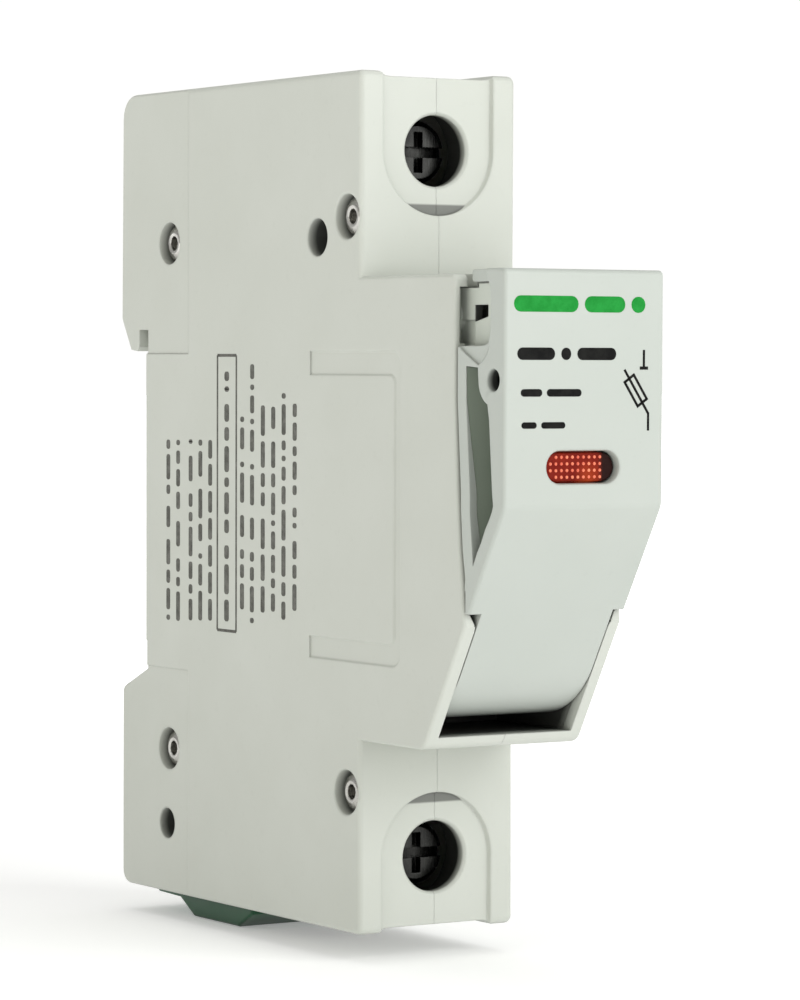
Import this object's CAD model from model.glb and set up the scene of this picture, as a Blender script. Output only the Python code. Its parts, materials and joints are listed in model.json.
"""Looks of a rail-mounted cartridge fuse holder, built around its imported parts.

X runs across the module from the left shell to the right one, Y from the handle at the front
(negative) to the rail at the back, and Z up. Lengths in the shape code are millimetres; objects
are written in metres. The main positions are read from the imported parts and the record, so that
the looks stay on the frame.
"""

import json
import math

import bmesh
import bpy
from mathutils import Matrix, Vector


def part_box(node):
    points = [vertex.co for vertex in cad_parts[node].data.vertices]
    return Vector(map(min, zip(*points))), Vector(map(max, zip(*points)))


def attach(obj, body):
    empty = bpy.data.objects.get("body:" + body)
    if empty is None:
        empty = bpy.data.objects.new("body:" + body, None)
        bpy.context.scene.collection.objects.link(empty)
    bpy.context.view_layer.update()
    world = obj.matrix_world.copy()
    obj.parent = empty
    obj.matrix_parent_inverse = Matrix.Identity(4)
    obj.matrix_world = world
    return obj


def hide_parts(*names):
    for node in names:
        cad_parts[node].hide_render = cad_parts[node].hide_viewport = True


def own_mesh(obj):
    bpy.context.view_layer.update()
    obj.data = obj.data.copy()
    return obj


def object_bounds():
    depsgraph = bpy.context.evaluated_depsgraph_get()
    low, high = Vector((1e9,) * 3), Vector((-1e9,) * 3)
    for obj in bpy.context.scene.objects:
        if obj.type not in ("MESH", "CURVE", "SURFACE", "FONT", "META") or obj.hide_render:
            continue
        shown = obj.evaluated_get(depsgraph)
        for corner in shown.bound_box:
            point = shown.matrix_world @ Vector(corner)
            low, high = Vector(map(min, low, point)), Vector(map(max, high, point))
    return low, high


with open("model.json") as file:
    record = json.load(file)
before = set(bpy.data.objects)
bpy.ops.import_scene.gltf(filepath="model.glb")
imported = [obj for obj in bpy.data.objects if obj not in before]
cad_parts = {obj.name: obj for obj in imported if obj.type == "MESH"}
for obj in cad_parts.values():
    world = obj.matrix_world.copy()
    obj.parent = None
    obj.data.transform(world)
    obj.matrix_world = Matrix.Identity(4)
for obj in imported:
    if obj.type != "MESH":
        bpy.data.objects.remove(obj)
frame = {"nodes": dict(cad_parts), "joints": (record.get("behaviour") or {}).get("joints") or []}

MM = 0.001
scene = bpy.context.scene


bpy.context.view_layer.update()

# ---- where things are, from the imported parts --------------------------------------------
JOINTS = {joint["name"]: joint for joint in frame["joints"]}


def box_mm(node):
    low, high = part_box(node)
    return low / MM, high / MM


def centre_mm(node):
    low, high = box_mm(node)
    return (low + high) / 2.0


SHELL_LO, SHELL_HI = box_mm("right_shell")
SKIN = SHELL_HI.x - 0.03  # the printed marks lie between the skin and the module width
SEAM = SHELL_LO.x * 0.1  # the half shells all but touch
TOP, BOTTOM, BACK = SHELL_HI.z, SHELL_LO.z, SHELL_HI.y
WALL_IN = 7.8
LIP_IN = 7.62  # the sloped opening closes in on the tongue
SHOULDER = -43.0  # front faces above and below the nose
NOSE_Z = 22.5
NOSE_IN = 21.3
NOSE_FRONT = -59.65
WEB_BACK = -43.6 + 1.9  # rear wall of the carrier's room
HANDLE_TOP = 22.9
FRONT = box_mm("handle")[0].y  # the handle's front face at its top edge
CREASE_Y, CREASE_Z = FRONT + 0.1, 0.85  # where the front face turns into the slope
SLOPE = 0.588
PLATE = 1.62
SKIRT_Z = -9.2  # bottom of the handle's cheeks
HINGE_Y, HINGE_Z = (c / MM for c in JOINTS["carrier_hinge"]["pos_m"][1:])
SOCKET_R = 1.6
CURL_Y, CURL_Z, CURL_R = -50.12, -9.83, 10.0  # the tongue under the handle
CURL_FROM, CURL_TO = 210.46, 270.0  # degrees
SCREWS = {end: centre_mm(end + "_terminal_screw") for end in ("upper", "lower")}
ENTRY_Y = -21.7
PAD_HALF = 6.2
RIVETS = {letter: centre_mm("rivet_" + letter) for letter in "abcd"}
GANG_HOLES = ((-34.8, 26.5, 1.85), (-4.4, -34.2, 1.6))  # y, z, radius
SEAL_Y, SEAL_Z, SEAL_R, EAR_R = -66.09, 12.6, 1.0, 2.4
LENS_LO, LENS_HI = box_mm("indicator_lens")
WINDOW_X, WINDOW_Z = (LENS_LO.x + LENS_HI.x) / 2.0, (LENS_LO.z + LENS_HI.z) / 2.0
WINDOW_W, WINDOW_H = 8.1, 3.0

# how far the cutters reach past the part
INSIDE = -1.0
OUTSIDE = 10.0
FAR_OUTSIDE = 12.0
FAR_FRONT = -75.0


# ---- shape helpers ----------------------------------------------------------------------
def finish(name, solid):
    """Turns a bmesh in mm into a scene object in metres."""
    bmesh.ops.recalc_face_normals(solid, faces=solid.faces)
    for vert in solid.verts:
        vert.co *= MM
    return add_object(name, solid)


def add_object(name, solid):
    mesh = bpy.data.meshes.new(name)
    solid.to_mesh(mesh)
    solid.free()
    obj = bpy.data.objects.new(name, mesh)
    scene.collection.objects.link(obj)
    return obj


def loop_solid(rings):
    """A closed solid through rings of equally many points."""
    solid = bmesh.new()
    made = [[solid.verts.new(point) for point in ring] for ring in rings]
    count = len(made[0])
    for low, high in zip(made, made[1:]):
        for i in range(count):
            j = (i + 1) % count
            solid.faces.new((low[i], low[j], high[j], high[i]))
    solid.faces.new(made[0][::-1])
    solid.faces.new(made[-1])
    return solid


def prism_x(points, x0, x1):
    return loop_solid([[(x, y, z) for y, z in points] for x in (x0, x1)])


def prism_y(points, y0, y1):
    return loop_solid([[(x, y, z) for x, z in points] for y in (y0, y1)])


def prism_z(points, z0, z1):
    return loop_solid([[(x, y, z) for x, y in points] for z in (z0, z1)])


def arc(centre_u, centre_v, radius, start, end, steps):
    """Points on an arc from start to end, in degrees."""
    out = []
    for i in range(steps + 1):
        angle = math.radians(start + (end - start) * i / steps)
        out.append((centre_u + radius * math.cos(angle), centre_v + radius * math.sin(angle)))
    return out


def disc(centre_u, centre_v, radius, sides):
    return arc(centre_u, centre_v, radius, 0.0, 360.0 - 360.0 / sides, sides - 1)


def rect(u0, u1, v0, v1):
    return [(u0, v0), (u1, v0), (u1, v1), (u0, v1)]


def box(y0, y1, z0, z1, x0, x1):
    return prism_x(rect(y0, y1, z0, z1), x0, x1)


def rounded(points, radii, steps=6):
    """The closed profile with arcs at the corners that radii gives by index."""
    out = []
    count = len(points)
    for i in range(count):
        corner = Vector(points[i])
        radius = radii.get(i, 0.0)
        if radius <= 0.0:
            out.append(tuple(corner))
            continue
        before = (Vector(points[i - 1]) - corner).normalized()
        after = (Vector(points[(i + 1) % count]) - corner).normalized()
        half = before.angle(after) / 2.0
        reach = radius / math.tan(half)
        centre = corner + (before + after).normalized() * (radius / math.sin(half))
        start = (corner + before * reach) - centre
        end = (corner + after * reach) - centre
        turn = start.angle_signed(end)
        for k in range(steps + 1):
            angle = -turn * k / steps
            cos, sin = math.cos(angle), math.sin(angle)
            out.append(
                (centre.x + start.x * cos - start.y * sin, centre.y + start.x * sin + start.y * cos)
            )
    return out


def stadium(grow=0.0):
    """The indicator window's outline (x, z), grown all round."""
    steps = 20
    width, height = WINDOW_W + 2 * grow, WINDOW_H + 2 * grow
    radius = height / 2.0
    shift = width / 2.0 - radius
    right_end = arc(WINDOW_X + shift, WINDOW_Z, radius, -90, 90, steps)
    return right_end + arc(WINDOW_X - shift, WINDOW_Z, radius, 90, 270, steps)


def flare_y(ring, stations):
    """A solid along Y: ring(grow) gives the profile, stations are (y, grow)."""
    return loop_solid([[(x, y, z) for x, z in ring(grow)] for y, grow in stations])


def flare_x(ring, stations):
    return loop_solid([[(x, y, z) for y, z in ring(grow)] for x, grow in stations])


def flared_hole(y, z, radius, sides, inner, mouth, outside=OUTSIDE, side=1.0):
    """A round cutter along X; the mouth is given as (depth under the skin, grow)."""
    stations = [(inner, 0.0)]
    stations += [(SKIN - depth, grow) for depth, grow in mouth]
    stations.append((outside, mouth[-1][1]))
    stations = [(side * x, grow) for x, grow in stations]
    return flare_x(lambda grow: disc(y, z, radius + grow, sides), stations)


def span(side, inner, outer):
    """An x range on one side, lower end first."""
    return sorted((side * inner, side * outer))


def applied(obj):
    """Bakes the modifiers into the mesh."""
    graph = bpy.context.evaluated_depsgraph_get()
    graph.update()
    fresh = bpy.data.meshes.new_from_object(obj.evaluated_get(graph))
    obj.modifiers.clear()
    old = obj.data
    name = old.name
    obj.data = fresh
    bpy.data.meshes.remove(old)
    fresh.name = name


def boolean(target, cutter, operation="DIFFERENCE"):
    mod = target.modifiers.new("cut", "BOOLEAN")
    mod.object = cutter
    mod.operation = operation
    mod.solver = "EXACT"
    applied(target)
    used = cutter.data
    bpy.data.objects.remove(cutter, do_unlink=True)
    bpy.data.meshes.remove(used)


def helper(solid):
    return finish("helper", solid)


def cut(target, solid):
    boolean(target, helper(solid))


def join(target, solid):
    boolean(target, helper(solid), "UNION")


def smooth(obj, degrees=32.0):
    obj.data.shade_smooth()
    obj.data.set_sharp_from_angle(angle=math.radians(degrees))
    even = obj.modifiers.new("even_normals", "WEIGHTED_NORMAL")
    even.mode = "FACE_AREA"
    even.weight = 100
    even.keep_sharp = True
    return obj


def round_edges(obj, pick, width):
    """Rounds edges: pick(start, end) gives the radius in mm, at most width."""
    least_angle = math.radians(25.0)
    merge = 1e-6  # metres
    solid = bmesh.new()
    solid.from_mesh(obj.data)
    layer = solid.edges.layers.float.new("bevel_weight_edge")
    for edge in solid.edges:
        if len(edge.link_faces) != 2 or edge.calc_face_angle(0.0) < least_angle:
            continue
        start, end = (vert.co / MM for vert in edge.verts)
        edge[layer] = min(1.0, max(0.0, pick(start, end) / width))
    solid.to_mesh(obj.data)
    solid.free()
    mod = obj.modifiers.new("round", "BEVEL")
    mod.width = width * MM
    mod.segments = 4
    mod.limit_method = "WEIGHT"
    mod.use_clamp_overlap = False
    applied(obj)
    solid = bmesh.new()
    solid.from_mesh(obj.data)
    bmesh.ops.remove_doubles(solid, verts=solid.verts, dist=merge)
    bmesh.ops.dissolve_degenerate(solid, edges=solid.edges, dist=merge)
    solid.to_mesh(obj.data)
    solid.free()


def on_outline(point, outline):
    """True if the point, seen along X, lies on the closed profile."""
    near = 0.03
    seen = Vector((point.y, point.z))
    count = len(outline)
    for i in range(count):
        start, end = Vector(outline[i]), Vector(outline[(i + 1) % count])
        run = end - start
        share = min(1.0, max(0.0, (seen - start).dot(run) / max(run.length_squared, 1e-12)))
        if (start + run * share - seen).length < near:
            return True
    return False


def slope_y(z, back=0.0):
    """Y of the handle's slope at a height, or of a plane behind it."""
    return CREASE_Y + SLOPE * (CREASE_Z - z) + back


def slope_point(z, back=0.0):
    return (slope_y(z, back), z)


# ---- node trees -------------------------------------------------------------------------
MATERIALS = {}


def scaled(colour, factor, lift=0.0):
    return tuple(min(1.0, c * factor + lift) for c in colour)


class Graph:
    """A new material, kept in MATERIALS, with small helpers for its node tree.

    Lengths given to the nodes are metres, except where a method says mm.
    """

    def __init__(self, name):
        self.mat = bpy.data.materials.new(name)
        MATERIALS[name] = self.mat
        self.mat.use_nodes = True
        self.nodes = self.mat.node_tree.nodes
        self.links = self.mat.node_tree.links
        self.shader = self.nodes["Principled BSDF"]
        self.coord = self.node("TexCoord").outputs["Object"]

    def node(self, kind):
        return self.nodes.new("ShaderNode" + kind)

    def plug(self, value, socket):
        """Sets a number or a colour, or links an output."""
        if isinstance(value, (int, float)):
            socket.default_value = value
        elif isinstance(value, tuple):
            socket.default_value = (*value, 1.0)
        else:
            self.links.new(value, socket)

    def feed(self, socket_name, value):
        self.plug(value, self.shader.inputs[socket_name])

    def noise(self, scale, detail, rough=0.55, vector=None):
        node = self.node("TexNoise")
        node.inputs["Scale"].default_value = scale
        node.inputs["Detail"].default_value = detail
        node.inputs["Roughness"].default_value = rough
        self.links.new(vector or self.coord, node.inputs["Vector"])
        return node.outputs["Fac"]

    def ramp(self, value, low, high, out_low=0.0, out_high=1.0):
        node = self.node("MapRange")
        node.inputs["From Min"].default_value = low
        node.inputs["From Max"].default_value = high
        node.inputs["To Min"].default_value = out_low
        node.inputs["To Max"].default_value = out_high
        self.links.new(value, node.inputs["Value"])
        return node.outputs["Result"]

    def ramp_mm(self, value, low, high, out_low=0.0, out_high=1.0):
        return self.ramp(value, low * MM, high * MM, out_low, out_high)

    def mottle(self, scale, low, high, detail=3.0, out_low=0.0, out_high=1.0, rough=0.55):
        """Noise stretched between two of its levels."""
        return self.ramp(self.noise(scale, detail, rough), low, high, out_low, out_high)

    def math(self, operation, *values):
        node = self.node("Math")
        node.operation = operation
        for i, value in enumerate(values):
            self.plug(value, node.inputs[i])
        return node.outputs[0]

    def times(self, first, second):
        return self.math("MULTIPLY", first, second)

    def vector_math(self, operation, vector, constant=None):
        node = self.node("VectorMath")
        node.operation = operation
        self.links.new(vector, node.inputs[0])
        if constant is not None:
            node.inputs[1].default_value = constant
        return node.outputs

    def axes(self):
        node = self.node("SeparateXYZ")
        self.links.new(self.coord, node.inputs[0])
        return node.outputs

    def mix(self, share, first, second):
        node = self.node("Mix")
        node.data_type = "RGBA"
        sockets = {s.identifier: s for s in node.inputs}
        for key, value in (("Factor_Float", share), ("A_Color", first), ("B_Color", second)):
            self.plug(value, sockets[key])
        return {s.identifier: s for s in node.outputs}["Result_Color"]

    def edges(self, radius):
        """1 on convex and concave edges, fading within the radius; and the rounded normal."""
        bevel = self.node("Bevel")
        bevel.samples = 4
        bevel.inputs["Radius"].default_value = radius
        geometry = self.node("NewGeometry")
        dot = self.node("VectorMath")
        dot.operation = "DOT_PRODUCT"
        self.links.new(bevel.outputs["Normal"], dot.inputs[0])
        self.links.new(geometry.outputs["Normal"], dot.inputs[1])
        return self.ramp(dot.outputs["Value"], low=0.97, high=0.80), bevel.outputs["Normal"]

    def crevice(self, distance, low, high):
        """1 where the surface is closely walled in."""
        node = self.node("AmbientOcclusion")
        node.samples = 4
        node.inputs["Distance"].default_value = distance
        return self.ramp(node.outputs["AO"], low, high, 1.0, 0.0)

    def hole(self, axis, centre, radius, start, stop):
        """1 deep inside a round hole along X or Y, growing from start to stop (mm)."""
        offset = self.vector_math("SUBTRACT", self.coord, Vector(centre) * MM)[0]
        across = (0.0, 1.0, 1.0) if axis == "X" else (1.0, 0.0, 1.0)
        flat = self.vector_math("MULTIPLY", offset, across)[0]
        distance = self.vector_math("LENGTH", flat)["Value"]
        near = self.ramp(distance, radius * MM, (radius + 0.1) * MM, 1.0, 0.0)
        along = self.axes()[axis]
        if axis == "X":
            along = self.math("ABSOLUTE", along)
        else:
            near = self.times(near, self.ramp_mm(along, -36.5, -36.0, 1.0, 0.0))
        return self.times(near, self.ramp_mm(along, start, stop))

    def behind_slope(self, start, stop):
        """1 inside the sloped opening, growing from start to stop (mm) behind its front."""
        axes = self.axes()
        back = self.math("ADD", axes["Y"], self.times(axes["Z"], SLOPE))
        back = self.math("SUBTRACT", back, (CREASE_Y + SLOPE * CREASE_Z) * MM)
        low = self.ramp_mm(axes["Z"], -10.6, -9.2, 1.0, 0.0)
        low = self.times(low, self.ramp_mm(axes["Z"], -NOSE_IN - 0.25, -NOSE_IN - 0.05))
        inner = self.ramp_mm(self.math("ABSOLUTE", axes["X"]), 7.9, 8.0, 1.0, 0.0)
        deep = self.times(low, inner)
        deep = self.times(deep, self.ramp_mm(axes["Y"], -41.6, -41.4, 1.0, 0.0))
        return self.times(deep, self.ramp_mm(back, start, stop))

    def bump(self, height, strength, distance, normal):
        node = self.node("Bump")
        node.inputs["Strength"].default_value = strength
        node.inputs["Distance"].default_value = distance
        self.links.new(height, node.inputs["Height"])
        self.links.new(normal, node.inputs["Normal"])
        self.feed("Normal", node.outputs["Normal"])


# ---- materials --------------------------------------------------------------------------
def plastic(
    name,
    colour,
    tint,
    worn,  # colour of the edges
    rough,
    grain=9000.0,  # scale of the fine bump
    bump=0.10,
    dirt=(0.30, 0.31, 0.27),
    dirt_share=0.35,
    deep=0.0,  # how dark the hollows get
    reach=0.3,  # openness at which a hollow stops being dark
    holes=(),  # arguments of Graph.hole, then how dark it gets
    slope=False,
):
    graph = Graph(name)
    broad = graph.mottle(scale=70.0, low=0.3, high=0.7)
    fine = graph.noise(scale=grain, detail=2.0, rough=0.6)
    base = graph.mix(broad, colour, tint)
    speck = graph.mottle(scale=1500.0, detail=2.0, low=0.62, high=0.75, out_high=0.25)
    base = graph.mix(speck, base, scaled(tint, 0.93))
    mask, normal = graph.edges(radius=0.00022)
    patchy = graph.mottle(scale=420.0, low=0.35, high=0.65, out_low=0.25, out_high=0.9)
    base = graph.mix(graph.times(mask, patchy), base, worn)
    corners = graph.crevice(distance=0.0016, low=0.35, high=0.9)
    base = graph.mix(graph.times(corners, dirt_share), base, dirt)
    dark = scaled(tint, 0.05)
    if deep:
        hollow = graph.crevice(distance=0.014, low=0.03, high=reach)
        base = graph.mix(graph.times(hollow, deep), base, dark)
    for *hole, share in holes:
        base = graph.mix(graph.times(graph.hole(*hole), share), base, dark)
    if slope:
        shade = graph.times(graph.behind_slope(start=0.5, stop=2.8), 0.94)
        base = graph.mix(shade, base, dark)
    graph.feed("Base Color", base)
    gloss = uneven_rough(graph, rough)
    edge_polish = -0.06
    gloss = graph.math("ADD", gloss, graph.times(mask, edge_polish))
    graph.feed("Roughness", gloss)
    graph.feed("Specular IOR Level", 0.42)
    graph.bump(fine, strength=bump, distance=0.00003, normal=normal)


def uneven_rough(graph, rough):
    return graph.mottle(
        scale=260.0, detail=4.0, low=0.25, high=0.75, out_low=rough - 0.06, out_high=rough + 0.07
    )


def inner_wall_plastic():
    """The deep wall behind a cheek window: it gets darker towards the front."""
    near, far = (0.150, 0.180, 0.142), (0.042, 0.056, 0.036)
    graph = Graph("carrier_plastic_inner")
    along = graph.ramp_mm(graph.axes()["Y"], low=-61.7, high=-65.2)
    base = graph.mix(along, near, far)
    patch = graph.mottle(scale=380.0, low=0.35, high=0.7, out_high=0.35)
    base = graph.mix(patch, base, scaled(near, 0.8))
    mask, normal = graph.edges(radius=0.00010)
    base = graph.mix(graph.times(mask, 0.25), base, scaled(near, 1.3))
    graph.feed("Base Color", base)
    graph.feed("Roughness", uneven_rough(graph, 0.5))
    graph.feed("Specular IOR Level", 0.2)
    fine = graph.noise(scale=9000.0, detail=2.0)
    graph.bump(fine, strength=0.1, distance=0.00003, normal=normal)


def ink(name, colour, tint, glow=0.0):
    """A thin print film: worn unevenly, with a slightly rough face."""
    graph = Graph(name)
    patch = graph.mottle(scale=900.0, detail=4.0, rough=0.7, low=0.38, high=0.66)
    base = graph.mix(patch, colour, tint)
    mask, normal = graph.edges(radius=0.00005)
    base = graph.mix(graph.times(mask, 0.3), base, scaled(tint, 1.5, lift=0.02))
    graph.feed("Base Color", base)
    gloss = graph.mottle(scale=1400.0, low=0.3, high=0.7, out_low=0.45, out_high=0.62)
    graph.feed("Roughness", gloss)
    graph.feed("Specular IOR Level", 0.08)
    if glow:
        graph.feed("Emission Color", base)
        graph.feed("Emission Strength", glow)
    fine = graph.noise(scale=9000.0, detail=2.0)
    graph.bump(fine, strength=0.15, distance=0.00001, normal=normal)


def metal(name, colour, tint, rough, bump=0.12, dull=0.5):
    """Metal with fine scratches; dull is how dark the corners get."""
    graph = Graph(name)
    stretch = graph.node("Mapping")
    stretch.inputs["Scale"].default_value = (2600.0, 300.0, 300.0)
    graph.links.new(graph.coord, stretch.inputs["Vector"])
    lines = graph.noise(scale=3.0, detail=4.0, rough=0.5, vector=stretch.outputs["Vector"])
    patch = graph.mottle(scale=320.0, detail=4.0, low=0.35, high=0.68)
    base = graph.mix(patch, colour, tint)
    mask, normal = graph.edges(radius=0.00012)
    base = graph.mix(graph.times(mask, 0.6), base, scaled(colour, 1.3, lift=0.05))
    corners = graph.crevice(distance=0.0012, low=0.3, high=0.85)
    base = graph.mix(graph.times(corners, dull), base, scaled(tint, 0.25))
    graph.feed("Base Color", base)
    graph.feed("Metallic", 1.0)
    gloss = graph.ramp(lines, low=0.3, high=0.7, out_low=rough - 0.07, out_high=rough + 0.10)
    graph.feed("Roughness", gloss)
    graph.bump(lines, strength=bump, distance=0.00002, normal=normal)


def lens_red():
    """Deep red with the lamp's warm spot low in the window and an unlit end beside it."""
    graph = Graph("indicator_red")
    broad = graph.mottle(scale=700.0, low=0.3, high=0.7)
    base = graph.mix(broad, (0.12, 0.006, 0.004), (0.19, 0.012, 0.006))
    graph.feed("Specular IOR Level", 0.06)
    gloss = graph.mottle(
        scale=1200.0, detail=2.0, low=0.3, high=0.7, out_low=0.22, out_high=0.36
    )
    graph.feed("Roughness", gloss)
    glow = graph.mix(broad, (0.10, 0.006, 0.003), (0.22, 0.02, 0.006))
    spot = Vector((WINDOW_X + 1.1, -67.2, WINDOW_Z - 0.9)) * MM
    distance = graph.vector_math("DISTANCE", graph.coord, spot)["Value"]
    warm = graph.ramp(distance, low=0.0004, high=0.0016, out_low=1.0, out_high=0.0)
    glow = graph.mix(warm, glow, (0.75, 0.12, 0.02))
    end = graph.ramp_mm(graph.axes()["X"], low=WINDOW_X + 2.1, high=WINDOW_X + 2.7)
    glow = graph.mix(end, glow, (0.004, 0.001, 0.001))
    mask, normal = graph.edges(radius=0.00012)
    base = graph.mix(graph.times(mask, 0.35), base, (0.62, 0.12, 0.06))
    graph.feed("Base Color", graph.mix(end, base, (0.02, 0.006, 0.005)))
    graph.feed("Emission Color", glow)
    graph.feed("Emission Strength", 0.25)
    fine = graph.noise(scale=5000.0, detail=2.0)
    graph.bump(fine, strength=0.08, distance=0.00003, normal=normal)


# the holes are dark inside: axis, centre, radius, start and full depth of the shade, its share
HOUSING_HOLES = [
    ("Y", (0.0, 0.0, at.z), 5.0, SHOULDER + 0.7, SHOULDER + 1.7, 0.94) for at in SCREWS.values()
]
HOUSING_HOLES += [
    ("X", (0.0, y, z), radius + 0.1, SKIN + 0.05, SKIN - 1.1, 0.93) for y, z, radius in GANG_HOLES
]
HOUSING_HOLES += [
    ("X", (0.0, at.y, at.z), 2.4, SKIN - 0.05, SKIN - 1.3, 0.72) for at in RIVETS.values()
]
CARRIER_HOLES = [("X", (0.0, -61.6, 19.0), 1.7, 7.26, 7.12, 0.94)]
HANDLE_HOLES = [("X", (0.0, SEAL_Y, SEAL_Z), SEAL_R + 0.1, SKIN - 0.1, SKIN - 0.7, 0.94)]

plastic(
    "housing_plastic",
    colour=(0.570, 0.590, 0.542),
    tint=(0.545, 0.565, 0.514),
    worn=(0.70, 0.72, 0.68),
    rough=0.43,
    deep=0.5,
    reach=0.16,
    holes=HOUSING_HOLES,
    slope=True,
)
plastic(
    "handle_plastic",
    colour=(0.480, 0.510, 0.474),
    tint=(0.460, 0.492, 0.455),
    worn=(0.66, 0.69, 0.65),
    rough=0.40,
    deep=0.9,
    holes=HANDLE_HOLES,
)
plastic(
    "carrier_plastic",
    colour=(0.570, 0.605, 0.545),
    tint=(0.545, 0.58, 0.52),
    worn=(0.70, 0.72, 0.68),
    rough=0.46,
    dirt_share=0.12,
    holes=CARRIER_HOLES,
)
inner_wall_plastic()
metal("contact_metal", colour=(0.62, 0.52, 0.36), tint=(0.50, 0.36, 0.20), rough=0.30)
metal("zinc_steel", colour=(0.62, 0.61, 0.58), tint=(0.46, 0.45, 0.42), rough=0.28)
metal(
    "dark_screw_steel",
    colour=(0.045, 0.045, 0.043),
    tint=(0.018, 0.018, 0.018),
    rough=0.22,
    dull=0.95,
)
metal("spring_steel", colour=(0.42, 0.42, 0.43), tint=(0.30, 0.30, 0.31), rough=0.30)
metal("plated_cap", colour=(0.80, 0.78, 0.74), tint=(0.68, 0.66, 0.62), rough=0.16, bump=0.05)
plastic(
    "fuse_ceramic",
    colour=(0.83, 0.81, 0.74),
    tint=(0.79, 0.77, 0.69),
    worn=(0.86, 0.85, 0.80),
    rough=0.20,
    grain=2500.0,
    bump=0.06,
)
plastic(
    "clip_green",
    colour=(0.006, 0.085, 0.030),
    tint=(0.005, 0.065, 0.024),
    worn=(0.03, 0.19, 0.08),
    rough=0.34,
    dirt=(0.006, 0.015, 0.008),
    dirt_share=0.6,
)
# small parts: name, colour, tint, worn edge colour, roughness
for name, colour, tint, worn, rough in (
    ("circuit_board", (0.02, 0.12, 0.05), (0.015, 0.09, 0.04), (0.12, 0.25, 0.12), 0.35),
    ("lamp_body", (0.80, 0.22, 0.04), (0.70, 0.16, 0.03), (0.9, 0.4, 0.15), 0.12),
    ("resistor_body", (0.16, 0.36, 0.46), (0.13, 0.30, 0.40), (0.3, 0.5, 0.6), 0.25),
):
    plastic(name, colour, tint, worn, rough)
ink("ink_black", colour=(0.004, 0.004, 0.004), tint=(0.012, 0.012, 0.011))
ink("ink_grey", colour=(0.095, 0.095, 0.085), tint=(0.17, 0.17, 0.155))
ink("ink_green", colour=(0.010, 0.23, 0.030), tint=(0.018, 0.29, 0.045))
ink("lens_prism_red", colour=(0.66, 0.13, 0.08), tint=(0.90, 0.28, 0.16), glow=0.24)
lens_red()


def dress(obj, material, ride, replaces=None):
    """Gives a piece its material and slot (the material's name unless given) and its body."""
    obj.data.materials.clear()
    obj.data.materials.append(MATERIALS[material])
    for face in obj.data.polygons:
        face.material_index = 0
    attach(obj, ride)
    if replaces:
        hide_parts(replaces)


# ---- half shells ------------------------------------------------------------------------
# side profile, (y, z), from the upper rear corner over the nose to the rail recess
SHELL_OUTLINE = [
    (BACK, TOP),
    (SHOULDER, TOP),
    (SHOULDER, NOSE_Z),
    (NOSE_FRONT, NOSE_Z),
    (NOSE_FRONT, 10.7),
    (-60.18, 1.4),
    (-60.55, -3.25),
    (-61.0, -6.5),
    (-61.25, -9.2),
    slope_point(-10.4),
    slope_point(-NOSE_Z),
    (SHOULDER, -NOSE_Z),
    (SHOULDER, BOTTOM),
    (BACK, BOTTOM),
    (BACK, -20.4),
    (-0.2, -18.2),
    (-0.2, -15.2),
    (0.0, -15.2),
    (0.0, 15.2),
    (-0.2, 15.2),
    (-0.2, 17.6),
    (1.75, 17.6),
    (1.75, 15.8),
    (2.2, 15.35),
    (3.5, 15.5),
    (BACK, 18.8),
]
CORNER_RADII = {0: 2.5, 1: 0.8, 3: 0.7, 10: 1.5, 12: 0.8, 13: 1.5, 14: 1.0, 25: 1.0}
RIM_R, NOSE_RIM_R = 0.6, 0.34

# Boxes cut out: y from, y to, z from, z to, x from, x to.
SETBACK = SKIN - 0.125  # the rear of the side is set back a little
SETBACKS = (
    (-9.03, 7.0, 15.07, 44.0, SETBACK, OUTSIDE),
    (-9.03, 7.0, -43.3, -17.83, SETBACK, OUTSIDE),
)
NOSE_TOP_CUTS = (
    (FAR_FRONT, -54.6, 20.0, 24.0, 6.2, 7.55),
    (FAR_FRONT, -59.2, 20.0, 24.0, INSIDE, 6.4),
    (FAR_FRONT, -58.9, 16.0, NOSE_IN, 7.0, 8.4),
)
LOWER_REAR_HOLLOWS = (
    (-1.8, 3.7, -46.0, -20.6, INSIDE, 6.3),
    (1.1, 3.7, -21.0, -15.0, INSIDE, 6.3),
    (-14.6, -1.5, -40.2, -29.2, INSIDE, 2.9),
)
# the carrier's room is wider behind the slope: (y, z)
WIDE_ROOM = [
    (FAR_FRONT, -10.4),
    slope_point(-10.4, 1.5),
    (slope_y(-NOSE_IN) + 1.5, -NOSE_IN + 0.01),
    (WEB_BACK - 0.02, -NOSE_IN + 0.01),
    (WEB_BACK - 0.02, NOSE_IN - 0.01),
    (FAR_FRONT, NOSE_IN - 0.01),
]
# eases the wall into the narrower lip at the front: (x, z)
LIP_RELIEF = [
    (7.4, -8.6),
    (8.3, -8.6),
    (8.3, -9.2),
    (LIP_IN + 0.1, -10.4),
    (LIP_IN, -10.9),
    (7.4, -10.9),
]
WALL_Y = (-37.0, -14.8)  # the terminal chamber, front to back
CHAMBER_WALL = 1.7
CHANNEL_DEPTH = 0.5
# section of the shallow channel on the end face: x, rise from the channel's floor
CHANNEL = (
    (INSIDE, 2.0),
    (INSIDE, 0.0),
    (PAD_HALF - 0.9, 0.0),
    (PAD_HALF - 0.4, 0.05),
    (PAD_HALF + 0.05, 0.2),
    (PAD_HALF + 0.4, 0.42),
    (PAD_HALF + 0.8, 0.56),
    (PAD_HALF + 0.8, 2.0),
)
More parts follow.
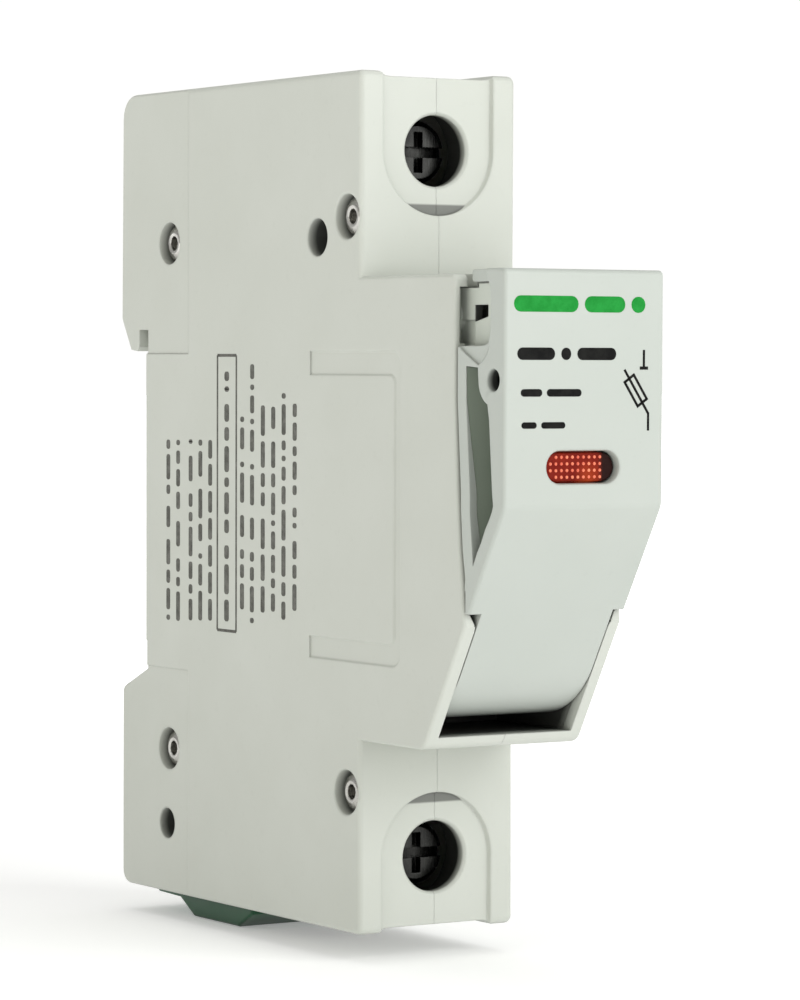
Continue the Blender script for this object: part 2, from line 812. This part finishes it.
# front recesses: depth behind the shoulder, grow
PAD_STATIONS = ((-1.0, 0.45), (-0.02, 0.45), (0.10, 0.18), (0.40, 0.06), (0.5, 0.0))
ACCESS_STATIONS = (
    *((-1.0, 0.32), (0.48, 0.32), (0.60, 0.14), (0.82, 0.0), (1.7, 0.0), (1.75, 1.4)),
    (-36.0 - SHOULDER, 1.4),
)
ACCESS_R, ENTRY_R = 3.5, 3.7
RIVET_R, RIVET_SINK_R, RIVET_BOSS_R = 1.45, 2.15, 2.8
# hole mouths: depth under the skin, grow
RIVET_MOUTH = ((0.32, 0.0), (0.1, 0.07), (-0.01, 0.24))
GANG_MOUTH = ((0.3, 0.0), (0.08, 0.08), (-0.01, 0.25))


def shell_edge(start, end):
    """Radius along the outer rim of a half shell."""
    if min(abs(start.x), abs(end.x)) < SKIN - 0.01:
        return 0.0
    if start.y > -1.5 and end.y > -1.5 and abs(start.z) < 19.5 and abs(end.z) < 19.5:
        return 0.0
    if (start.y + end.y) / 2.0 < SHOULDER - 0.5:
        return NOSE_RIM_R
    return RIM_R


def cut_carrier_room(body):
    """Room for the carrier, open to the front."""
    cut(body, box(FAR_FRONT, WEB_BACK, -NOSE_IN, NOSE_IN, INSIDE, LIP_IN))
    cut(body, prism_x(WIDE_ROOM, LIP_IN - 0.2, WALL_IN))
    for limits in NOSE_TOP_CUTS:
        cut(body, box(*limits))
    cut(body, prism_y(LIP_RELIEF, -64.0, -59.7))


def cut_terminal(body, screw_z, end_z, way):
    """Chamber, pad, channel and holes of one terminal; way is 1 at the top, -1 at the bottom."""
    ceiling = end_z - way * CHAMBER_WALL
    chamber = helper(box(*WALL_Y, *sorted((way * 22.7, ceiling)), INSIDE, WALL_IN))
    for y, z, radius in GANG_HOLES:
        cut(chamber, prism_x(disc(y, z, radius + 1.05, 24), 4.6, 9.5))
    boolean(body, chamber)
    cut(body, box(-44.5, -24.0, *span(way, 17.8, 20.0), INSIDE, 4.4))
    cut(body, box(-27.0, -24.0, *span(way, 18.2, 24.0), INSIDE, 4.4))

    # the pad around the access hole, open to the end
    far = screw_z + way * 12.0
    start = 180 if way > 0 else 0

    def pad(grow):
        radius = PAD_HALF + grow
        ring = arc(0.0, screw_z, radius, start, start + 180, 40)
        return ring + [(radius * way, far), (-radius * way, far)]

    cut(body, flare_y(pad, [(SHOULDER + depth, grow) for depth, grow in PAD_STATIONS]))
    edge = end_z - way * CHANNEL_DEPTH
    channel = [(x, edge + way * rise) for x, rise in CHANNEL]
    cut(body, prism_y(channel, SHOULDER - 1.0, -12.0))

    # screwdriver access and wire entry, with rounded mouths
    stations = [(SHOULDER + depth, grow) for depth, grow in ACCESS_STATIONS]
    cut(body, flare_y(lambda grow: disc(0.0, screw_z, ACCESS_R + grow, 64), stations))
    mouth = [
        (ceiling - way, 0.0),
        (edge - way * 0.35, 0.0),
        (edge - way * 0.10, 0.1),
        (edge, 0.35),
        (edge + way, 0.35),
    ]
    rings = [[(x, y, z) for x, y in disc(0.0, ENTRY_Y, ENTRY_R + grow, 56)] for z, grow in mouth]
    cut(body, loop_solid(rings))


def cut_hollows(body):
    """Hollows behind the contacts, with a boss left for rivet a."""
    cut(body, box(-40.4, -3.2, -16.2, 16.2, INSIDE, WALL_IN))
    upper_rear = rounded(rect(-13.3, 3.9, 20.4, 40.9), {2: 1.5})
    rear = helper(prism_x(upper_rear, INSIDE, WALL_IN))
    at = RIVETS["a"]
    cut(rear, prism_x(disc(at.y, at.z, RIVET_BOSS_R, 28), -2.0, 9.5))
    boolean(body, rear)
    for limits in LOWER_REAR_HOLLOWS:
        cut(body, box(*limits))


def cut_side_holes(body):
    for at in RIVETS.values():
        cut(body, prism_x(disc(at.y, at.z, RIVET_R, 32), INSIDE, OUTSIDE))
        cut(body, flared_hole(at.y, at.z, RIVET_SINK_R, 48, 7.5, RIVET_MOUTH))
    for y, z, radius in GANG_HOLES:
        cut(body, flared_hole(y, z, radius - 0.05, 48, 5.2, GANG_MOUTH))
    cut(body, prism_x(disc(HINGE_Y, HINGE_Z, SOCKET_R, 28), 7.0, 8.5))


def cut_side_frame(body):
    """The sunk frame on the side face: sloping sides, open to the rear."""

    def big(grow):
        return rounded(rect(-50.2 - grow, -33.5, -14.9 - grow, 15.3 + grow), {0: 1.4, 3: 1.4})

    def small(grow):
        return rounded(rect(-49.1 + grow, -30.0, -12.8 + grow, 13.0 - grow), {0: 0.8, 3: 0.8})

    floor_x, bank = SKIN - 0.16, 0.08
    sides = [(floor_x, -bank), (SKIN + 0.01, bank)]
    sunk = helper(flare_x(big, [*sides, (OUTSIDE, bank)]))
    cut(sunk, flare_x(small, [(SKIN - 0.5, -bank), *sides, (OUTSIDE + 1.0, bank)]))
    boolean(body, sunk)


def build_right_shell():
    outline = rounded(SHELL_OUTLINE, CORNER_RADII)
    body = finish("right_shell_skin", prism_x(outline, SEAM, SKIN))
    round_edges(body, shell_edge, RIM_R)
    for limits in SETBACKS:
        cut(body, box(*limits))
    cut_carrier_room(body)
    cut_terminal(body, SCREWS["upper"].z, TOP, 1.0)
    cut_terminal(body, SCREWS["lower"].z, BOTTOM, -1.0)
    cut_hollows(body)
    cut_side_holes(body)
    cut_side_frame(body)
    return smooth(body)


def mirrored(obj, name):
    solid = bmesh.new()
    solid.from_mesh(obj.data)
    for vert in solid.verts:
        vert.co.x = -vert.co.x
    bmesh.ops.reverse_faces(solid, faces=solid.faces)
    return smooth(add_object(name, solid))


right_shell = build_right_shell()
left_shell = mirrored(right_shell, "left_shell_skin")
dress(left_shell, "housing_plastic", "base", replaces="left_shell")
dress(right_shell, "housing_plastic", "base", replaces="right_shell")


# ---- handle -----------------------------------------------------------------------------
def tongue_inside(r_low, r_high, steps):
    """The tongue's inner face, from its free end up to the slope."""
    out = []
    for i in range(steps + 1):
        share = i / steps
        angle = math.radians(CURL_TO - (CURL_TO - CURL_FROM) * share)
        radius = r_low + (r_high - r_low) * share
        out.append((CURL_Y + radius * math.cos(angle), CURL_Z + radius * math.sin(angle)))
    return out


FRONT_PROFILE = [(-64.8, HANDLE_TOP), (FRONT, HANDLE_TOP), (CREASE_Y, CREASE_Z), slope_point(-9.5)]
ARM_CORNER = [(-60.13, 12.0), (-60.13, 15.77), (-63.0, 15.77)]
TIP_R = 0.55
# side profile, (y, z): down the front and slope, round the tongue, back up behind the cheek
HANDLE_OUTLINE = [
    *rounded(FRONT_PROFILE, {1: 0.55, 2: 1.6})[1:],
    *arc(CURL_Y, CURL_Z, CURL_R, CURL_FROM, CURL_TO, 24),
    *arc(CURL_Y, CURL_Z - CURL_R + TIP_R, TIP_R, -70.0, 70.0, 8),
    *tongue_inside(CURL_R - 1.1, CURL_R - 1.4, 24),
    slope_point(-10.0, PLATE),
    (-61.35, -7.3),
    (-61.49, -5.9),
    (-61.04, -3.2),
    (-60.74, 0.5),
    (-60.72, 2.3),
    (-60.13, 10.7),
    *rounded(ARM_CORNER, {1: 0.25}, 4)[1:-1],
    (-63.4, 15.77),
    (-64.1, 15.8),
    (-64.7, 15.92),
    (-65.2, 16.24),
    (-65.48, 16.7),
    (-65.58, 17.2),
    (-65.61, 20.0),
    (-65.55, 21.0),
    (-65.38, 21.5),
    (-65.14, 21.84),
    (-64.86, 22.5),
    (-64.8, HANDLE_TOP),
]
# opening in each cheek, (y, z)
CHEEK_WINDOW = [
    (-61.61, 13.9),
    (-61.64, 10.7),
    (-61.99, 6.1),
    (-62.28, 2.4),
    (-62.32, 0.06),
    (-62.58, -2.15),
    (-62.7, -3.35),
    (-62.84, -4.7),
    (-63.56, -3.36),
    (-64.16, -2.51),
    (-64.91, -1.16),
    (-65.64, -0.15),
    (-66.02, 0.52),
    (-66.2, 1.03),
    (-66.0, 2.49),
    (-65.5, 8.9),
    *arc(SEAL_Y, SEAL_Z, EAR_R, -68.0, 0.0, 12),
    (-63.59, 13.77),
]
# step along the top of each cheek, (y, z)
ARM_STEP = [
    (-60.0, 15.95),
    (-61.27, 15.14),
    (-63.62, 13.98),
    (-64.1, 14.2),
    (-64.66, 14.6),
    (-65.05, 15.0),
    (-65.3, 15.4),
    (-65.42, 15.8),
    (-65.4, 16.2),
    (-65.2, 16.9),
    (-60.0, 16.9),
]
# hollow between the cheeks, (y, z)
POCKET = [
    (-66.55, 23.5),
    (-66.45, 1.02),
    slope_point(-7.9, PLATE + 0.02),
    (-50.0, -7.9),
    (-50.0, 23.5),
]
TOP_BAR = rounded(rect(-66.9, -60.4, 21.75, 22.88), {1: 0.3, 2: 0.3}, 4)
SEAL_MOUTH = ((0.22, 0.0), (0.06, 0.07), (-0.01, 0.2))  # depth under the skin, grow
# indicator opening: y, grow
WINDOW_STATIONS = [
    (-70.0, 0.3),
    (CREASE_Y - 0.03, 0.3),
    (CREASE_Y + 0.08, 0.1),
    (CREASE_Y + 0.3, 0.0),
    (-66.0, 0.0),
]
FRONT_EDGE_R, BACK_EDGE_R = 0.38, 0.12


def handle_edge(start, end):
    """Fuller along the front and the slope, finer along the edges next to the shells."""
    low, high = min(start.z, end.z), max(start.z, end.z)
    if min(abs(start.x), abs(end.x)) < SKIN - 0.01 or low < SKIRT_Z - 0.1:
        return 0.0
    on_profile = on_outline(start, HANDLE_OUTLINE) and on_outline(end, HANDLE_OUTLINE)
    if high > SKIRT_Z + 0.05 and not on_profile:
        return 0.0
    front = all(
        p.y < CREASE_Y + 0.6 or (p.z < CREASE_Z and p.y < slope_y(p.z) + 0.05)
        for p in (start, end)
    )
    return FRONT_EDGE_R if front else BACK_EDGE_R


def build_handle():
    handle = finish("handle_skin", prism_x(HANDLE_OUTLINE, -SKIN, SKIN))
    cut(handle, prism_x(POCKET, -7.75, 7.75))
    join(handle, prism_x(TOP_BAR, -7.5, 7.5))
    for side in (-1.0, 1.0):
        # the slope and tongue below the cheeks are narrower
        cut(handle, box(-70.0, -44.0, -24.0, SKIRT_Z, *span(side, 7.5, FAR_OUTSIDE)))
        cut(handle, box(-61.62, -58.0, -9.4, -7.0, *span(side, 7.6, FAR_OUTSIDE)))
        cut(handle, prism_x(CHEEK_WINDOW, *span(side, 7.0, FAR_OUTSIDE)))
        cut(handle, prism_x(ARM_STEP, *span(side, 8.72, FAR_OUTSIDE)))
        hole = flared_hole(SEAL_Y, SEAL_Z, SEAL_R, 40, 7.0, SEAL_MOUTH, FAR_OUTSIDE, side)
        cut(handle, hole)
    cut(handle, flare_y(stadium, WINDOW_STATIONS))
    round_edges(handle, handle_edge, FRONT_EDGE_R)
    smooth(handle)
    dress(handle, "handle_plastic", "carrier", replaces="handle")


def build_inner_wall(side, letter):
    """A carrier wall seen through a cheek window: it falls away inwards to the front."""
    front, back = min(p[0] for p in CHEEK_WINDOW), max(p[0] for p in CHEEK_WINDOW)
    middle = Vector(((front + back) / 2.0, 4.6))
    outline = [tuple(middle + (Vector(p) - middle) * 0.992) for p in CHEEK_WINDOW]
    wall = finish("carrier_inner_wall_" + letter, prism_x(outline, *span(side, 6.2, 9.2)))
    slant = [
        (8.93, back + 0.5),
        (8.93, back),
        (8.2, back - 0.7),
        (7.55, back - 1.7),
        (6.6, front - 0.5),
        (9.5, front - 0.5),
        (9.5, back + 0.5),
    ]
    cut(wall, prism_z([(side * x, y) for x, y in slant], -8.0, 16.0))
    smooth(wall, 40.0)
    dress(wall, "carrier_plastic_inner", "carrier")


build_handle()
build_inner_wall(-1.0, "a")
build_inner_wall(1.0, "b")


# ---- indicator lens with its prism grid -------------------------------------------------
LENS_GAP = 0.3  # window size less lens size
LENS_STATIONS = [(-67.22, -0.12), (-67.16, -0.03), (-67.05, 0.0), (-66.3, 0.0)]  # y, grow
LENS_FLANGE = 0.6
DOT_PITCH = 0.62
DOT_ROWS, DOT_COLUMNS, DOT_SIDES = 4, 10, 12
FIRST_DOT = 0.85  # from the window's left end
DOT_MARGIN = 0.42
DOT_RINGS = ((0.17, -67.15), (0.16, -67.22), (0.11, -67.28), (0.04, -67.30))  # radius, y


def add_dot(solid, centre_x, centre_z):
    previous = None
    for radius, y in DOT_RINGS:
        points = disc(0.0, 0.0, radius, DOT_SIDES)
        ring = [solid.verts.new((centre_x + u, y, centre_z + v)) for u, v in points]
        if previous:
            for i in range(DOT_SIDES):
                j = (i + 1) % DOT_SIDES
                solid.faces.new((previous[i], previous[j], ring[j], ring[i]))
        else:
            solid.faces.new(ring[::-1])
        previous = ring
    solid.faces.new(previous)


def build_lens():
    lens = finish(
        "indicator_lens_body",
        flare_y(lambda grow: stadium(grow - LENS_GAP / 2.0), LENS_STATIONS),
    )
    join(lens, prism_y(stadium(LENS_FLANGE), -66.35, -65.7))
    dots = bmesh.new()
    reach = (WINDOW_W - WINDOW_H) / 2.0
    for row in range(DOT_ROWS):
        for column in range(DOT_COLUMNS):
            x = WINDOW_X - WINDOW_W / 2.0 + FIRST_DOT + column * DOT_PITCH
            z = WINDOW_Z + (row - (DOT_ROWS - 1) / 2.0) * DOT_PITCH
            off_axis = math.hypot(max(abs(x - WINDOW_X) - reach, 0.0), z - WINDOW_Z)
            if off_axis <= WINDOW_H / 2.0 - DOT_MARGIN:
                add_dot(dots, x, z)
    grid = smooth(finish("indicator_lens_grid", dots), 50.0)
    dress(grid, "lens_prism_red", "carrier")
    smooth(lens)
    dress(lens, "indicator_red", "carrier", replaces="indicator_lens")


build_lens()

# ---- printed marks: plain bars and a circuit symbol, no lettering ------------------------
GREEN_Z, GREEN_H = 19.65, 1.5
GREEN_BARS = ((-4.4, 7.2), (2.2, 4.6), (6.0, 1.6))  # centre x, length
# x from, x to, z, height
BLACK_BARS = (
    (-7.6, -3.4, 15.05, 1.15),
    (-2.7, -1.6, 15.05, 1.15),
    (-0.9, 3.5, 15.05, 1.15),
    (-7.2, -4.8, 11.45, 0.7),
    (-4.3, -0.4, 11.45, 0.7),
    (-7.1, -5.4, 8.45, 0.6),
    (-4.9, -2.2, 8.45, 0.6),
)
LINE = 0.26
HEAVY_LINE = 0.3
# rows of dashes up the left side: y, z from, z to, width, seed of the dash lengths
SIDE_ROWS = (
    (-4.8, -12.8, 6.1, 0.8, 3),
    (-6.9, -12.8, 6.1, 0.8, 17),
    (-9.55, -12.6, 6.2, 0.8, 29),
    (-11.6, -12.5, 6.2, 0.8, 41),
    (-13.65, -12.4, 6.2, 0.8, 53),
    (-17.05, -12.3, 14.1, 0.95, 61),
    (-20.2, -10.9, 9.0, 0.8, 7),
    (-22.2, -12.2, 14.0, 0.8, 19),
    (-24.35, -11.0, 10.5, 0.8, 31),
    (-26.4, -10.8, 10.3, 0.8, 43),
    (-28.45, -11.5, 11.4, 0.8, 59),
    (-30.6, -10.5, 10.1, 0.8, 71),
)
DASH_GAP = 0.55
STRIP_Y = (-15.15, -19.0)
STRIP_Z = (-13.25, 14.9)


def add_slab(solid, low_points, high_points):
    low = [solid.verts.new(point) for point in low_points]
    high = [solid.verts.new(point) for point in high_points]
    solid.faces.new(low[::-1])
    solid.faces.new(high)
    for i in range(len(low)):
        j = (i + 1) % len(low)
        solid.faces.new((low[i], low[j], high[j], high[i]))


def slab_front(solid, points):
    """A thin printed patch on the handle's front; points are (x, z)."""

    def at(x, z, lift):
        share = (z - CREASE_Z) / (HANDLE_TOP - CREASE_Z)
        return (x, CREASE_Y + (FRONT - CREASE_Y) * share - lift, z)

    add_slab(solid, [at(x, z, -0.02) for x, z in points], [at(x, z, 0.01) for x, z in points])


def slab_side(solid, points):
    """A thin printed patch on the left side; points are (y, z)."""
    low, high = ([(-x, y, z) for y, z in points] for x in (SKIN - 0.02, SKIN + 0.012))
    add_slab(solid, low, high)


def bar(centre_u, centre_v, width, height, radius=None):
    radius = min(width, height) / 2.0 * 0.98 if radius is None else radius
    half_w, half_h = width / 2, height / 2
    corners = rect(centre_u - half_w, centre_u + half_w, centre_v - half_h, centre_v + half_h)
    return rounded(corners, dict.fromkeys(range(4), radius), 4)


def stroke(start, end, width=LINE):
    along = Vector((end[0] - start[0], end[1] - start[1])).normalized() * (width / 2)
    across = Vector((-along.y, along.x))
    start, end = Vector(start), Vector(end)
    return [tuple(p) for p in (start - across, end - across, end + across, start + across)]


def add_symbol(solid):
    """Fuse-switch symbol: fixed contact, tilted blade with a fuse box on it, lower terminal."""
    slab_front(solid, stroke((6.2, 13.75), (7.15, 13.75), HEAVY_LINE))
    slab_front(solid, stroke((6.67, 15.45), (6.67, 13.8)))
    tip, pivot = Vector((4.45, 13.6)), Vector((7.2, 9.5))
    along = (pivot - tip).normalized()
    across = Vector((-along.y, along.x))
    slab_front(solid, stroke(tip, pivot))
    box_ends = tip + along * 1.0, tip + along * 3.7
    for side in (-1.0, 1.0):
        slab_front(solid, stroke(*(end + across * 0.62 * side for end in box_ends)))
    for end in box_ends:
        slab_front(solid, stroke(end - across * 0.75, end + across * 0.75))
    slab_front(solid, stroke((7.2, 9.6), (7.2, 7.9)))


def add_dashes(solid, y, z, z_end, width, seed):
    while z < z_end - 0.4:
        seed = (seed * 37 + 11) % 101
        length = 0.55 + (seed % 7) * 0.42
        top = min(z + length, z_end)
        if top - z > 0.25:
            slab_side(solid, bar(y, (z + top) / 2, width, top - z, width * 0.35))
        z = top + DASH_GAP + (0.7 if seed % 5 == 0 else 0.0)


def build_marks():
    green = bmesh.new()
    for x, length in GREEN_BARS:
        slab_front(green, bar(x, GREEN_Z, length, GREEN_H))
    green = finish("front_mark_green", green)
    dress(green, "ink_green", "carrier")

    black = bmesh.new()
    for x0, x1, z, height in BLACK_BARS:
        slab_front(black, bar((x0 + x1) / 2, z, x1 - x0, height))
    add_symbol(black)
    black = finish("front_mark_black", black)
    dress(black, "ink_black", "carrier")

    # rows of short dashes beside and inside one outlined strip
    grey = bmesh.new()
    for row in SIDE_ROWS:
        add_dashes(grey, *row)
    for y in STRIP_Y:
        slab_side(grey, stroke((y, STRIP_Z[0]), (y, STRIP_Z[1]), HEAVY_LINE))
    for z in reversed(STRIP_Z):
        slab_side(grey, stroke((STRIP_Y[0], z), (STRIP_Y[1], z), HEAVY_LINE))
    grey = finish("side_mark_dashes", grey)
    dress(grey, "ink_grey", "base")


build_marks()

# ---- coil spring under the clip's tab, drawn round ---------------------------------------
WIRE_R = 0.25
TURNS, STEPS_PER_TURN, WIRE_SIDES = 7, 28, 10
END_TURNS, END_PITCH = 0.8, 0.55  # the closer winding at each end


def build_spring():
    spring_low, spring_high = box_mm("din_clip_spring")
    coil_r = (spring_high.x - spring_low.x) / 2.0 - WIRE_R
    low, high = spring_low.z + WIRE_R, spring_high.z - WIRE_R
    centre_y = (spring_low.y + spring_high.y) / 2.0
    open_rise = high - low - END_PITCH * (2 * END_TURNS)
    section = [2.0 * math.pi * k / WIRE_SIDES for k in range(WIRE_SIDES)]
    rings = []
    for i in range(TURNS * STEPS_PER_TURN + 1):
        angle = 2.0 * math.pi * i / STEPS_PER_TURN
        turn = i / STEPS_PER_TURN
        share = min(max((turn - END_TURNS) / (TURNS - 2 * END_TURNS), 0.0), 1.0)
        flat = END_PITCH * (min(turn, END_TURNS) + max(turn - (TURNS - END_TURNS), 0.0))
        z = low + flat + share * open_rise
        out = Vector((math.cos(angle), math.sin(angle), 0.0))
        middle = Vector((0.0, centre_y, z)) + out * coil_r
        rings.append(
            [
                tuple(middle + out * (WIRE_R * math.cos(b)) + Vector((0, 0, WIRE_R * math.sin(b))))
                for b in section
            ]
        )
    coil = smooth(finish("clip_spring_coil", loop_solid(rings)), 60.0)
    dress(coil, "spring_steel", "base", replaces="din_clip_spring")
    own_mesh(coil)


build_spring()

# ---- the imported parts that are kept, with softened edges and their materials -------------
# material, slot, edge width, parts
KEPT = (
    ("zinc_steel", "zinc_steel", 0.10, "rivet_a rivet_b rivet_c rivet_d"),
    ("contact_metal", "contact_metal", 0.08, "upper_contact lower_contact"),
    ("spring_steel", "spring_steel", 0.05, "upper_jaw_spring lower_jaw_spring"),
    ("zinc_steel", "zinc_steel", 0.15, "upper_clamp_cage lower_clamp_cage"),
    ("dark_screw_steel", "zinc_steel", 0.10, "upper_terminal_screw lower_terminal_screw"),
    ("carrier_plastic", "carrier_plastic", 0.10, "fuse_carrier"),
    ("fuse_ceramic", "fuse_ceramic", 0.08, "fuse_tube"),
    ("plated_cap", "plated_cap", 0.10, "fuse_cap_upper fuse_cap_lower"),
    ("plated_cap", "plated_cap", 0.02, "fuse_element"),
    ("circuit_board", "circuit_board", 0.08, "indicator_board"),
    ("lamp_body", "lamp_body", 0.05, "indicator_lamp"),
    ("resistor_body", "resistor_body", 0.06, "resistor_a resistor_b"),
    ("spring_steel", "spring_steel", 0.05, "upper_lead lower_lead"),
    ("clip_green", "clip_green", 0.28, "din_clip"),
)


def soften(obj, width):
    weld = obj.modifiers.new("weld", "WELD")
    weld.merge_threshold = 1e-6
    bevel = obj.modifiers.new("soften", "BEVEL")
    bevel.width = width * MM
    bevel.segments = 2
    bevel.limit_method = "ANGLE"
    bevel.angle_limit = math.radians(38.0)
    bevel.use_clamp_overlap = True
    bevel.harden_normals = True


for material, slot, width, parts in KEPT:
    for part in parts.split():
        obj = frame["nodes"][part]
        obj.data.materials.clear()
        obj.data.materials.append(MATERIALS[material])
        soften(obj, width)

# ---- studio (metres) --------------------------------------------------------------------
LOW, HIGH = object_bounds()
MIDDLE = (LOW + HIGH) / 2.0
FLOOR_HALF, FLOOR_GAP = 6.0, 0.0001
WORLD_LIGHT, WORLD_SEEN = 0.45, 1.02  # strength as light, and as the camera sees it


def build_floor():
    z = LOW.z - FLOOR_GAP
    corners = rect(-FLOOR_HALF, FLOOR_HALF, -FLOOR_HALF, FLOOR_HALF)
    mesh = bpy.data.meshes.new("floor")
    mesh.from_pydata([(x, y, z) for x, y in corners], [], [(0, 1, 2, 3)])
    floor = bpy.data.objects.new("floor", mesh)
    scene.collection.objects.link(floor)
    mesh.materials.append(floor_paper())


def floor_paper():
    """White paper that glows more away from the product."""
    graph = Graph("floor_paper")
    patch = graph.mottle(scale=14.0, low=0.3, high=0.7)
    graph.feed("Base Color", graph.mix(patch, (0.93, 0.93, 0.925), (0.96, 0.96, 0.955)))
    gloss = graph.mottle(scale=300.0, detail=2.0, low=0.3, high=0.7, out_low=0.75, out_high=0.9)
    graph.feed("Roughness", gloss)
    graph.feed("Specular IOR Level", 0.1)
    graph.feed("Emission Color", (1.0, 1.0, 1.0))
    distance = graph.vector_math("LENGTH", graph.coord)["Value"]
    glow = graph.ramp(distance, low=0.09, high=0.45, out_low=0.26, out_high=1.0)
    graph.feed("Emission Strength", glow)
    return graph.mat


def build_world():
    world = bpy.data.worlds.new("studio")
    scene.world = world
    world.use_nodes = True
    nodes, links = world.node_tree.nodes, world.node_tree.links
    background = nodes["Background"]
    background.inputs["Color"].default_value = (1.0, 1.0, 0.985, 1.0)
    path = nodes.new("ShaderNodeLightPath")
    pick = nodes.new("ShaderNodeMapRange")
    pick.inputs["To Min"].default_value = WORLD_LIGHT
    pick.inputs["To Max"].default_value = WORLD_SEEN
    links.new(path.outputs["Is Camera Ray"], pick.inputs["Value"])
    links.new(pick.outputs["Result"], background.inputs["Strength"])


def area(name, offset, size, watts, colour=(1.0, 1.0, 1.0)):
    """A rectangular light, placed from the product's middle and aimed at it."""
    data = bpy.data.lights.new(name, "AREA")
    data.shape = "RECTANGLE"
    data.size, data.size_y = size
    data.energy = watts
    data.color = colour
    obj = bpy.data.objects.new(name, data)
    scene.collection.objects.link(obj)
    obj.location = MIDDLE + Vector(offset)
    obj.rotation_euler = (MIDDLE - obj.location).to_track_quat("-Z", "Y").to_euler()


def build_camera():
    data = bpy.data.cameras.new("camera")
    camera = bpy.data.objects.new("camera", data)
    scene.collection.objects.link(camera)
    right = Vector((0.84520209, -0.53444036, 0.00263339))
    down = Vector((-0.01575675, -0.02984343, -0.99943039))
    ahead = Vector((0.53421452, 0.84467915, -0.03364477))
    position = Vector((-215.75916, -377.15793, 14.14176)) * MM
    turn = Matrix((right, -down, -ahead)).transposed()
    camera.matrix_world = Matrix.Translation(position) @ turn.to_4x4()
    data.sensor_fit = "AUTO"
    data.sensor_width = 36.0
    data.lens = 146.2439
    data.clip_start = 0.01
    data.clip_end = 30.0
    scene.camera = camera


build_floor()
build_world()
area(
    "front_panel",
    offset=(0.35, -0.95, 0.45),
    size=(0.8, 0.8),
    watts=6.7,
    colour=(0.985, 1.0, 0.985),
)
area(
    "left_panel",
    offset=(-1.0, -0.25, 0.35),
    size=(0.7, 0.9),
    watts=2.15,
    colour=(1.0, 0.985, 0.86),
)
area("top_panel", offset=(0.1, 0.1, 1.1), size=(1.1, 1.1), watts=3.2)
build_camera()

scene.view_settings.view_transform = "Standard"
scene.view_settings.look = "None"
